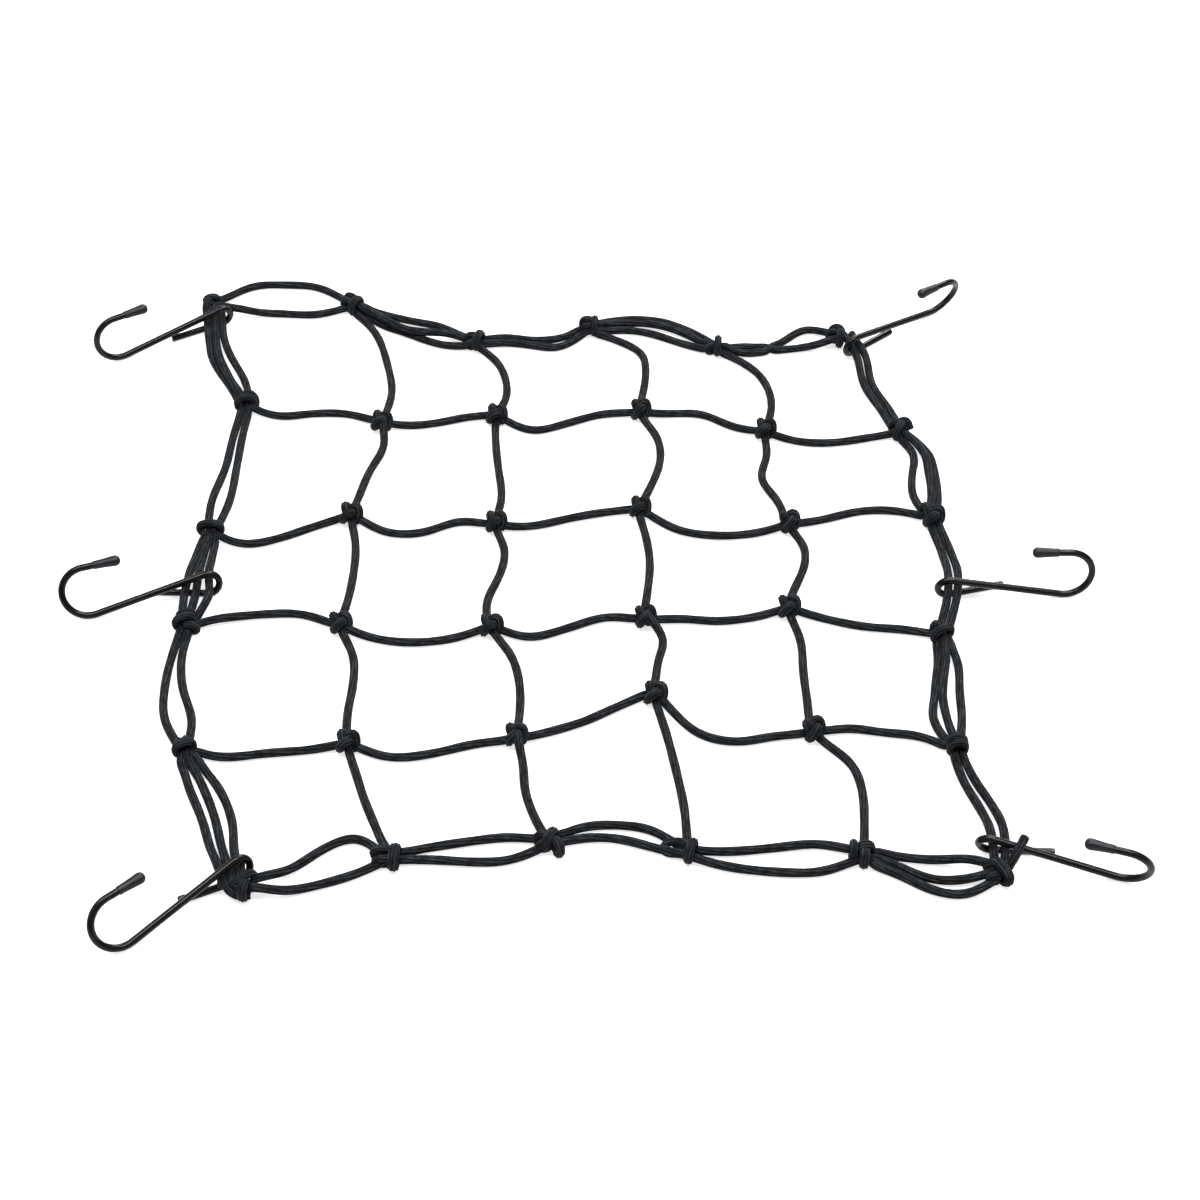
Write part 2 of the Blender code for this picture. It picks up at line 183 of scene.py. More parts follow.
# Hooks: where their wires run
hookShape = {
    "wireRadius": 1.85,      # with its coating
    "eyeHeight": 11.4,       # from the lower leg up to the shank
    "freeLeg": 30.5,
    "shank": 59.4,
    "bendRadius": 13.0,
    "bendAngle": 188.0,
    "bendSag": 0.2,
    "tipLeg": 20.0,
    "capLength": 14.0,
    "socket": 8.0,           # how far the wire reaches into its cap
    "gap": 0.3,
    "sides": 24,
    "step": 1.2,             # between the wire's rings
    "eyeSteps": 24,
    "bendSteps": 44,
    "endRings": (0, 0.12, 0.25, 0.5, 0.8, 1.3, 1.8),   # closer rings at the cut end
    "endReach": 2.4,
}


def hookWays(hook):
    azimuth = math.radians(hook.azimuth)
    out = Vector((math.cos(azimuth), math.sin(azimuth), 0))
    front = out.cross(up)
    if front.y > 0:
        front = -front
    splay = math.radians(hook.splay)
    return out, front, out * math.cos(splay) - front * math.sin(splay)


def eyeEnds(hook):
    out, front, _ = hookWays(hook)
    radius = math.hypot(hookShape["eyeHeight"], hook.slip) / 2
    low = Vector((hook.eyeX, hook.eyeY, hookShape["wireRadius"])) + out * radius
    return low + front * hook.slip, low + up * hookShape["eyeHeight"], radius


def arcPoints(start, along, towards, radius, angle, steps):
    points = []
    for i in range(1, steps + 1):
        turn = math.radians(angle) * i / steps
        points.append(start + along * radius * math.sin(turn)
                      + towards * radius * (1 - math.cos(turn)))
    return points


def hookLine(hook):
    out, front, free = hookWays(hook)
    low, top, radius = eyeEnds(hook)
    line = [low + free * hookShape["freeLeg"], low]
    line += arcPoints(low, -out, (top - low).normalized(), radius, 180, hookShape["eyeSteps"])
    pitch = math.asin((hookShape["eyeHeight"] - hookShape["bendSag"]) / hookShape["shank"])
    shank = out * math.cos(pitch) - up * math.sin(pitch)
    lean = math.radians(hook.lean)
    rise = (out * math.sin(pitch) + up * math.cos(pitch)) * math.cos(lean) + front * math.sin(lean)
    line.append(top + shank * hookShape["shank"])
    line += arcPoints(line[-1], shank, rise, hookShape["bendRadius"], hookShape["bendAngle"],
                      hookShape["bendSteps"])
    turned = math.radians(hookShape["bendAngle"])
    line.append(line[-1] + (shank * math.cos(turned) + rise * math.sin(turned)) * hookShape["tipLeg"])
    return line


# Cords: where they run
cordShape = {
    "radius": 2.26,
    "sides": 40,
    "step": 1.9,             # between the rings of the finished cord
    "ease": 2.5,             # between the points that are eased apart
    "beside": 2.2,           # border cords run this far beside their knots' middles
    "knotHeight": 3.6,       # in a knot, low under its strands
    "knotSpread": 6.0,
    "liftHeight": 6.3,       # between the legs of a hook's eye
    "liftWidth": 11.0,
    "liftSpread": 8.0,
    "ribs": 8,               # lengthwise ribs of the sheath
    "relief": 0.48,          # depth of the grooves between them
    "ribRound": 0.8,         # power of their rounding, lower for broader tops
    "twist": 1.9,            # degrees that the ribs turn in a millimetre
    "riseHeight": 8.6,       # where a cord comes out over its knot
    "riseFrom": 2.5,
    "riseRun": 14.0,
    "curveSteps": 8,         # points between two stops of a drawn line
    "finishSteps": 3,        # and between two eased points
    "shift": 11.0,           # of the ribs, from one cord to the next beside it
    "strands": 20,           # fine sheath strands that wind each way
    "pitch": 1.4,            # along the cord, from one strand to the next
    "yarns": 4,              # in a strand
    "streak": 4.0,           # length of the pale stripes of painted highlight
}


def distanceToLeg(place):
    nearest = math.inf
    for hook in hooks.values():
        low = eyeEnds(hook)[0].xy
        way = hookWays(hook)[2].xy
        along = min(max((place - low).dot(way), 0.0), hookShape["freeLeg"])
        nearest = min(nearest, (place - low - way * along).length)
    return nearest


def cordHeight(place, ride):
    rest = cordShape["radius"]
    knot = min((place - knotPlace(k)).length for row in knots for k in row)
    nearKnot = math.exp(-(knot / cordShape["knotSpread"]) ** 2)
    leg = max(0.0, distanceToLeg(place) - cordShape["liftWidth"])
    nearLeg = math.exp(-(leg / cordShape["liftSpread"]) ** 2)
    lift = max((cordShape["knotHeight"] - rest) * nearKnot,
               (cordShape["liftHeight"] - rest) * nearLeg)
    return rest + lift + ride * (1 - nearKnot) * (1 - nearLeg)


def cordPath(stops, bows, across, beside=0.0, ride=0.0):
    path = []
    for start, end, bow in zip(stops, stops[1:], bows):
        path.append(start + across * beside)
        for share, off in ((0.25, bow.quarter), (0.5, bow.half), (0.75, bow.threeQuarters)):
            path.append(start.lerp(end, share) + across * off)
    path.append(stops[-1] + across * beside)
    even = evenPoints(smoothPoints(path, cordShape["curveSteps"]), cordShape["ease"])
    return [Vector((p.x, p.y, cordHeight(p, ride))) for p in even]


def raiseFront(path, knot):
    # The cord comes out over its knot's front side
    rest, near = cordShape["radius"], cordShape["riseFrom"]
    for point in path:
        ahead = knot.y - point.y
        if 0 < ahead < cordShape["riseRun"]:
            turn = math.pi * max(0.0, ahead - near) / (cordShape["riseRun"] - near)
            share = 0.5 + 0.5 * math.cos(turn)
            point.z = max(point.z, rest + (cordShape["riseHeight"] - rest) * share)


def netCords():
    cords = {}
    for number, (row, bows) in enumerate(zip(knots[1:-1], rowBows), start=2):
        stops = [knotPlace(k) for k in row]
        cords[f"row_{number}"] = [cordPath(stops, [Bow(*bow) for bow in bows], Vector((0, 1)))]
    for column, bows in enumerate(columnBows, start=1):
        stops = [knotPlace(row[column]) for row in knots]
        path = cordPath(stops, [Bow(*bow) for bow in bows], Vector((1, 0)))
        for row in range(1, len(knots) - 1):
            if (row, column) in risers:
                raiseFront(path, knots[row][column])
        cords[f"column_{column + 1}"] = [path]
    sides = {
        "back": (knots[0], Vector((0, 1)), cordShape["beside"]),
        "front": (knots[-1], Vector((0, 1)), -cordShape["beside"]),
        "left": ([row[0] for row in knots], Vector((1, 0)), -cordShape["beside"]),
        "right": ([row[-1] for row in knots], Vector((1, 0)), cordShape["beside"]),
    }
    for side, (ends, across, outer) in sides.items():
        spans = borderBows[side]
        stops = [knotPlace(k) for k in ends]
        first, last = borderEnds[side]
        stops[0] = stops[0] + Vector(first)
        stops[-1] = stops[-1] + Vector(last)
        run = [cordPath(stops, [span[0] for span in spans], across, outer),
               cordPath(stops, [span[1] for span in spans], across, -outer)]
        for i, span in enumerate(spans):
            for third in span[2:]:
                run.append(cordPath(stops[i:i + 2], [third], across, ride=third.ride))
        cords[f"border_{side}"] = run
    return cords


easing = {
    "rounds": 60,
    "inKnot": 4.5,           # no easing apart inside a knot
    "outOfKnot": 9.0,        # full easing from here
    "push": 0.25,            # of two cords' overlap, in each round
    "hold": 0.04,            # pull back to the drawn line
    "smooth": 0.25,          # pull to the middle of a point's neighbours
    "clearance": 0.06,
    "wireStep": 0.8,         # between the points of a hook's wire
}


def easeApart(cords):
    # Cords that the drawn lines lead through each other come to lie side by side
    paths = [path for run in cords.values() for path in run]
    points = np.array([tuple(p) for path in paths for p in path])
    owner = np.concatenate([np.full(len(path), i) for i, path in enumerate(paths)])
    inner = np.ones(len(points), bool)
    for i in range(len(paths)):
        own = np.flatnonzero(owner == i)
        inner[own[0]] = inner[own[-1]] = False
    drawn = points.copy()
    middles = np.array([(k.x, k.y) for row in knots for k in row])
    far = np.sqrt(((points[:, None, :2] - middles[None]) ** 2).sum(2)).min(1)
    free = np.clip((far - easing["inKnot"]) / (easing["outOfKnot"] - easing["inKnot"]), 0, 1)
    grip = hookShape["eyeSteps"] + 2                # a hook's lower leg and eye
    wires = [p for hook in hooks.values()
             for p in evenPoints(hookLine(hook)[:grip], easing["wireStep"])]
    wireTree = KDTree(len(wires))
    for i, p in enumerate(wires):
        wireTree.insert(p, i)
    wireTree.balance()
    apart = 2 * cordShape["radius"] + easing["clearance"]
    offWire = cordShape["radius"] + hookShape["wireRadius"] + 2 * easing["clearance"]
    for _ in range(easing["rounds"]):
        tree = KDTree(len(points))
        for i, p in enumerate(points):
            tree.insert(p, i)
        tree.balance()
        moves = np.zeros_like(points)
        for i, p in enumerate(points):
            if free[i] == 0:
                continue
            here = Vector(p)
            for _, j, distance in tree.find_range(here, apart):
                if owner[j] != owner[i] and distance > 1e-6:
                    away = (p - points[j]) / distance
                    moves[i] += away * (apart - distance) * easing["push"] * free[i]
            _, j, distance = wireTree.find(here)
            if distance < offWire:
                moves[i] += (p - np.array(wires[j])) / distance * (offWire - distance)
        points += moves
        points += (drawn - points) * easing["hold"] * inner[:, None]
        middle = points.copy()
        middle[1:-1] = (points[:-2] + points[2:]) / 2
        points[inner] += (middle - points)[inner] * easing["smooth"] * free[inner, None]
        points[:, 2] = np.maximum(points[:, 2], cordShape["radius"])
    at = 0
    for run in cords.values():
        for n, path in enumerate(run):
            run[n] = [Vector(p) for p in points[at:at + len(path)]]
            at += len(path)


# Tubes: a grid is rolled up round its path, so its map runs round and along the cord in metres

def ringFrames(path, across=None):
    # Side directions that turn as little as they can along the path, or stay across a level loop
    tangents = []
    for i in range(len(path)):
        before, after = path[max(0, i - 1)], path[min(len(path) - 1, i + 1)]
        tangents.append((after - before).normalized())
    side = across or tangents[0].orthogonal().normalized()
    sides = []
    for i, tangent in enumerate(tangents):
        if i and not across:
            side = tangents[i - 1].rotation_difference(tangent) @ side
        side = (side - tangent * side.dot(tangent)).normalized()
        sides.append(side)
    return np.array(sides), np.array([t.cross(s) for t, s in zip(tangents, sides)])


def addTube(shape, path, radii, sides, ribbed=False, shift=0.0, across=None, wide=1.0):
    # path in mm, with a radius for each of its points; wide: how much wider than high it is
    rings = len(path)
    sheet = bmesh.new()
    sheet.loops.layers.uv.new("UVMap")
    bmesh.ops.create_grid(sheet, x_segments=sides, y_segments=rings - 1, size=0.5, calc_uvs=True)
    mesh = bpy.data.meshes.new("tube")
    sheet.to_mesh(mesh)
    sheet.free()
    flat = np.empty(len(mesh.vertices) * 3, np.float32)
    mesh.vertices.foreach_get("co", flat)
    flat = flat.reshape(-1, 3)
    around = flat[:, 0] + 0.5
    ring = np.rint((flat[:, 1] + 0.5) * (rings - 1)).astype(int)
    line = np.array([tuple(p) for p in path])
    along = np.concatenate([[0], np.cumsum(np.linalg.norm(np.diff(line, axis=0), axis=1))])
    first, second = ringFrames(path, across)
    radius = np.array(radii, float)[ring]
    turn = around * 2 * np.pi
    if ribbed:
        ribs = np.abs(np.cos(turn * cordShape["ribs"] / 2)) ** cordShape["ribRound"]
        radius = radius - cordShape["relief"] * (1 - ribs)
        turn = turn + np.radians(cordShape["twist"]) * (along[ring] + shift)
    reach = first[ring] * (np.cos(turn) * wide)[:, None] + second[ring] * np.sin(turn)[:, None]
    place = line[ring] + reach * radius[:, None]
    mesh.vertices.foreach_set("co", (place * mm).astype(np.float32).ravel())
    spots = np.empty(len(mesh.loops), np.int32)
    mesh.loops.foreach_get("vertex_index", spots)
    girth = 2 * math.pi * cordShape["radius"] * mm
    layer = np.empty((len(mesh.loops), 2), np.float32)
    layer[:, 0] = around[spots] * girth
    layer[:, 1] = (along[ring[spots]] + shift) * mm
    mesh.uv_layers["UVMap"].data.foreach_set("uv", layer.ravel())
    tube = bmesh.new()
    tube.from_mesh(mesh)
    bpy.data.meshes.remove(mesh)
    bmesh.ops.remove_doubles(tube, verts=tube.verts, dist=1e-7)
    rims = [e for e in tube.edges if e.is_boundary]
    if rims:
        bmesh.ops.holes_fill(tube, edges=rims, sides=0)
    bmesh.ops.recalc_face_normals(tube, faces=tube.faces)
    joined = bpy.data.meshes.new("joined")
    tube.to_mesh(joined)
    tube.free()
    shape.from_mesh(joined)
    bpy.data.meshes.remove(joined)


def standAt(place, way):
    # From a shape built upright at the origin to its place in mm, turned along way
    return Matrix.Translation(place * mm) @ way.to_track_quat("Z", "Y").to_matrix().to_4x4()


def placeShape(name, shape, material):
    mesh = bpy.data.meshes.new(name)
    shape.to_mesh(mesh)
    shape.free()
    mesh.materials.append(material)
    piece = bpy.data.objects.new(name, mesh)
    bpy.context.scene.collection.objects.link(piece)
    return piece


def finishPiece(name, shape, material, nodes):
    piece = placeShape(name, shape, material)
    for face in piece.data.polygons:
        face.use_smooth = True
    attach(piece, "root")
    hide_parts(*nodes)


# Materials

def newGroup(name, place, numbers, results):
    group = bpy.data.node_groups.new(name, "ShaderNodeTree")
    group.interface.new_socket(name=place, in_out="INPUT", socket_type="NodeSocketVector")
    for way, labels in (("INPUT", numbers), ("OUTPUT", results)):
        for label in labels:
            group.interface.new_socket(name=label, in_out=way, socket_type="NodeSocketFloat")
    return group, group.nodes.new("NodeGroupInput").outputs, group.nodes.new("NodeGroupOutput").inputs


def maths(tree, operation, *values, clamp=False):
    node = tree.nodes.new("ShaderNodeMath")
    node.operation = operation
    node.use_clamp = clamp
    for socket, value in zip(node.inputs, values):
        if isinstance(value, (int, float)):
            socket.default_value = value
        else:
            tree.links.new(value, socket)
    return node.outputs[0]


def times(tree, first, second):
    return maths(tree, "MULTIPLY", first, second)


def plus(tree, first, second):
    return maths(tree, "ADD", first, second)


def axes(tree, value):
    node = tree.nodes.new("ShaderNodeSeparateXYZ")
    tree.links.new(value, node.inputs[0])
    return node.outputs


def spread(tree, value, low, high, newLow, newHigh):
    node = tree.nodes.new("ShaderNodeMapRange")
    ends = (("From Min", low), ("From Max", high), ("To Min", newLow), ("To Max", newHigh))
    for label, number in ends:
        node.inputs[label].default_value = number
    tree.links.new(value, node.inputs["Value"])
    return node.outputs["Result"]


def mixColours(tree, share, first, second):
    node = tree.nodes.new("ShaderNodeMix")
    node.data_type = "RGBA"
    for number, value in ((0, share), (6, first), (7, second)):
        if isinstance(value, tuple):
            node.inputs[number].default_value = (*value, 1.0)
        else:
            tree.links.new(value, node.inputs[number])
    return node.outputs[2]


grain = {                    # where each mask of the shader groups begins and ends
    # the braid's hollows and the rib grooves bound masks of painted shade, the pale stripes one of
    # painted highlight
    "gapShade": (0.0, 0.55),
    "crossing": 3.0,         # how sharply one strand dives under another
    "grooves": (0.2, 0.9),
    "paintedHighlights": (0.42, 0.64),
    "streakTurn": 1.7,       # size of their noise round the cord
    "patches": (0.35, 0.65),
    "specks": (0.4, 0.7),
}


def braidGroup():
    # Over-and-under strands of several yarns each, with a mask of painted shade in the hollows between
    # them; the map runs round and along the cord in metres
    group, given, made = newGroup("braid", "Map", ("Strands", "Girth", "Pitch", "Yarns"),
                                  ("Relief", "GapShade", "Yarn"))
    apart = axes(group, given["Map"])
    share = maths(group, "DIVIDE", apart[0], given["Girth"])
    around = times(group, share, given["Strands"])
    along = maths(group, "DIVIDE", apart[1], given["Pitch"])
    families = []
    for operation in ("ADD", "SUBTRACT"):
        turn = maths(group, operation, around, along)
        wave = maths(group, "SINE", times(group, turn, math.pi))
        yarns = times(group, turn, given["Yarns"])
        yarn = maths(group, "SINE", times(group, yarns, 2 * math.pi))
        families.append((wave, yarn))
    (waveA, yarnA), (waveB, yarnB) = families
    both = times(group, times(group, waveA, waveB), grain["crossing"])
    over = maths(group, "ADD", both, 0.5, clamp=True)
    under = maths(group, "SUBTRACT", 1.0, over)
    ridge = plus(group, times(group, maths(group, "ABSOLUTE", waveA), over),
                 times(group, maths(group, "ABSOLUTE", waveB), under))
    yarn = plus(group, times(group, yarnA, over), times(group, yarnB, under))
    group.links.new(ridge, made["Relief"])
    # painted shade where the strands dip under each other
    group.links.new(spread(group, ridge, *grain["gapShade"], 1.0, 0.0), made["GapShade"])
    group.links.new(yarn, made["Yarn"])
    return group


def ribGroup():
    # Painted shade in the hollows between the lengthwise ribs, and pale stripes of painted highlight
    # along them, at random places round the cord
    group, given, made = newGroup("ribbing", "Map", ("Ribs", "Girth", "Streak"),
                                  ("GrooveShade", "Streaks"))
    apart = axes(group, given["Map"])
    share = maths(group, "DIVIDE", apart[0], given["Girth"])
    around = times(group, times(group, share, given["Ribs"]), math.pi)
    wave = maths(group, "ABSOLUTE", maths(group, "COSINE", around))
    # painted shade in the hollows between the ribs
    group.links.new(spread(group, wave, *grain["grooves"], 1.0, 0.0), made["GrooveShade"])
    turn = times(group, share, 2 * math.pi)
    joined = group.nodes.new("ShaderNodeCombineXYZ")
    for socket, operation in enumerate(("COSINE", "SINE")):
        side = times(group, maths(group, operation, turn), grain["streakTurn"])
        group.links.new(side, joined.inputs[socket])
    group.links.new(maths(group, "DIVIDE", apart[1], given["Streak"]), joined.inputs[2])
    noise = group.nodes.new("ShaderNodeTexNoise")
    noise.inputs["Scale"].default_value = 1.0
    noise.inputs["Detail"].default_value = 3.0
    group.links.new(joined.outputs[0], noise.inputs["Vector"])
    # pale stripes of painted highlight, at random places round the cord
    paintedHighlights = spread(group, noise.outputs["Fac"], *grain["paintedHighlights"], 0.0, 1.0)
    group.links.new(paintedHighlights, made["Streaks"])
    return group


def wearGroup():
    # Patches of dust and rubbing, from the object's own coordinates
    group, given, made = newGroup("wear", "Place", ("Coarse", "Fine"), ("Patches", "Specks"))
    for label, result in (("Coarse", "Patches"), ("Fine", "Specks")):
        node = group.nodes.new("ShaderNodeTexNoise")
        node.inputs["Detail"].default_value = 4.0
        group.links.new(given["Place"], node.inputs["Vector"])
        group.links.new(given[label], node.inputs["Scale"])
        mask = spread(group, node.outputs["Fac"], *grain[result.lower()], 0.0, 1.0)
        group.links.new(mask, made[result])
    return group


def newMaterial(name):
    mat = bpy.data.materials.new(name)
    mat.use_nodes = True
    return mat, mat.node_tree, mat.node_tree.nodes["Principled BSDF"]


def placeGroup(tree, group, **values):
    node = tree.nodes.new("ShaderNodeGroup")
    node.node_tree = group
    for label, value in values.items():
        if isinstance(value, (int, float)):
            node.inputs[label].default_value = value
        else:
            tree.links.new(value, node.inputs[label])
    return node.outputs


def mapOf(tree, kind):
    if kind == "UV":
        node = tree.nodes.new("ShaderNodeUVMap")
        node.uv_map = "UVMap"
        return node.outputs["UV"]
    return tree.nodes.new("ShaderNodeTexCoord").outputs["Object"]


def addBump(tree, shader, height, strength, distance):
    node = tree.nodes.new("ShaderNodeBump")
    node.inputs["Strength"].default_value = strength
    node.inputs["Distance"].default_value = distance * mm
    tree.links.new(height, node.inputs["Height"])
    tree.links.new(node.outputs["Normal"], shader.inputs["Normal"])


sheathLook = {
    # dark: of the specks, and of the painted shade in the braid's hollows and the rib grooves
    "dark": (0.0005, 0.0006, 0.0007),
    "yarn": (0.0044, 0.0051, 0.0060),
    "dusty": (0.0078, 0.0089, 0.0102),
    # colour of the painted highlight stripes
    "pale": (0.0315, 0.0352, 0.0400),
    "roughness": (0.6, 0.75),
    "specular": 0.05,
    "paintedHighlights": 0.74,          # how much each layer covers
    "specks": 0.35,
    # share of painted shade in the hollows between the braid's strands
    "gapShade": 0.85,
    # share of painted shade in the rib grooves
    "grooves": 0.94,
    "sheen": 0.03,
    "sheenRoughness": 0.45,
    "sheenTint": (0.80, 0.86, 0.93),
    "wear": (45.0, 1400.0),   # scale of the patches, and of the specks
    "yarnRelief": 0.1,
    "speckRelief": 0.08,
    "bump": (0.6, 0.09),      # strength, and height in millimetres
}


def wornPlaces(tree, wear, look):
    coarse, fine = look["wear"]
    return placeGroup(tree, wear, Place=mapOf(tree, "Object"), Coarse=coarse, Fine=fine)


def makeSheath(braid, ribbing, wear):
    mat, tree, shader = newMaterial("braided sheath")
    look = sheathLook
    spot = mapOf(tree, "UV")
    girth = 2 * math.pi * cordShape["radius"] * mm
    cords = placeGroup(tree, braid, Map=spot, Strands=cordShape["strands"], Girth=girth,
                       Pitch=cordShape["pitch"] * mm, Yarns=cordShape["yarns"])
    ribs = placeGroup(tree, ribbing, Map=spot, Ribs=cordShape["ribs"], Girth=girth,
                      Streak=cordShape["streak"] * mm)
    worn = wornPlaces(tree, wear, look)
    base = mixColours(tree, worn["Patches"], look["yarn"], look["dusty"])
    # pale stripes of painted highlight, dark specks, and painted shade in the braid's hollows and the
    # rib grooves
    layers = ((ribs["Streaks"], "paintedHighlights", "pale"), (worn["Specks"], "specks", "dark"),
              (cords["GapShade"], "gapShade", "dark"), (ribs["GrooveShade"], "grooves", "dark"))
    for cover, share, colour in layers:
        base = mixColours(tree, times(tree, cover, look[share]), base, look[colour])
    tree.links.new(base, shader.inputs["Base Color"])
    rough = spread(tree, worn["Patches"], 0.0, 1.0, *look["roughness"])
    tree.links.new(rough, shader.inputs["Roughness"])
    shader.inputs["Specular IOR Level"].default_value = look["specular"]
    shader.inputs["Sheen Weight"].default_value = look["sheen"]
    shader.inputs["Sheen Roughness"].default_value = look["sheenRoughness"]
    shader.inputs["Sheen Tint"].default_value = (*look["sheenTint"], 1.0)
    height = plus(tree, cords["Relief"], times(tree, cords["Yarn"], look["yarnRelief"]))
    height = plus(tree, height, times(tree, worn["Specks"], look["speckRelief"]))
    addBump(tree, shader, height, *look["bump"])
    return mat


wireLook = {
    "coat": (0.0018, 0.0020, 0.0024),
    "scuff": (0.007, 0.0072, 0.0078),
    "steel": (0.03, 0.03, 0.032),
    "roughness": (0.17, 0.34),
    "specular": 0.15,
    "wear": (120.0, 1600.0),
    "bump": (0.25, 0.04),
    "bareFrom": 2.2,          # mm of bare metal at a cut end
    "fade": 0.3,
    "ragged": 0.9,
    "metallic": 0.9,
    "bareRoughness": 0.2,     # more than the coat's
}


def makeWire(wear, name, bare):
    mat, tree, shader = newMaterial(name)
    look = wireLook
    worn = wornPlaces(tree, wear, look)
    scuffs = times(tree, worn["Patches"], worn["Specks"])
    colour = mixColours(tree, scuffs, look["coat"], look["scuff"])
    rough = spread(tree, scuffs, 0.0, 1.0, *look["roughness"])
    shader.inputs["Specular IOR Level"].default_value = look["specular"]
    if bare:
        apart = axes(tree, mapOf(tree, "UV"))
        torn = times(tree, worn["Specks"], look["ragged"] * mm)
        edge = plus(tree, apart[1], torn)
        first, last = look["bareFrom"] - look["fade"], look["bareFrom"] + look["fade"]
        steel = spread(tree, edge, first * mm, last * mm, 1.0, 0.0)
        colour = mixColours(tree, steel, colour, look["steel"])
        metal = times(tree, steel, look["metallic"])
        tree.links.new(metal, shader.inputs["Metallic"])
        rough = plus(tree, rough, times(tree, steel, look["bareRoughness"]))
    tree.links.new(colour, shader.inputs["Base Color"])
    tree.links.new(rough, shader.inputs["Roughness"])
    addBump(tree, shader, worn["Specks"], *look["bump"])
    return mat


capLook = {
    "plastic": (0.0045, 0.0051, 0.0064),
    "rubbed": (0.009, 0.0098, 0.0115),
    "roughness": (0.34, 0.5),
    "specular": 0.2,
    "wear": (220.0, 2200.0),
    "bump": (0.3, 0.06),
}


def makeCapPlastic(wear):
    mat, tree, shader = newMaterial("dipped cap plastic")
    worn = wornPlaces(tree, wear, capLook)
    rubs = times(tree, worn["Patches"], worn["Specks"])
    colour = mixColours(tree, rubs, capLook["plastic"], capLook["rubbed"])
    tree.links.new(colour, shader.inputs["Base Color"])
    rough = spread(tree, worn["Patches"], 0.0, 1.0, *capLook["roughness"])
    tree.links.new(rough, shader.inputs["Roughness"])
    shader.inputs["Specular IOR Level"].default_value = capLook["specular"]
    addBump(tree, shader, worn["Specks"], *capLook["bump"])
    return mat


rubberLook = {
    "strands": (0.007, 0.0075, 0.008),
    "dusty": (0.03, 0.03, 0.029),
    "roughness": 0.8,
    "wear": (700.0, 2600.0),
    "bump": (0.8, 0.3),
}


def makeRubber(wear):
    mat, tree, shader = newMaterial("rubber core")
    worn = wornPlaces(tree, wear, rubberLook)
    colour = mixColours(tree, worn["Patches"], rubberLook["strands"], rubberLook["dusty"])
    tree.links.new(colour, shader.inputs["Base Color"])
    shader.inputs["Roughness"].default_value = rubberLook["roughness"]
    addBump(tree, shader, worn["Patches"], *rubberLook["bump"])
    return mat


braid = braidGroup()
wear = wearGroup()
ribbing = ribGroup()
sheath = makeSheath(braid, ribbing, wear)
coatedWire = makeWire(wear, "coated wire", False)
cutWire = makeWire(wear, "coated wire with a cut end", True)
capPlastic = makeCapPlastic(wear)
rubberCore = makeRubber(wear)
print("materials made")

# Knots: turns over and under the cords, ears where a strand doubles back, closed loops of three
# lobes, and free strands. Places are from the knot's middle, and a way of 90 degrees is to the back.
Turn = namedtuple("Turn", "x y way length width", defaults=(4.0,))
Ear = namedtuple("Ear", "x y way reach top", defaults=(7.9,))
Loop = namedtuple("Loop", "x y way size stretch", defaults=(1.06,))
Strand = namedtuple("Strand", "stops")

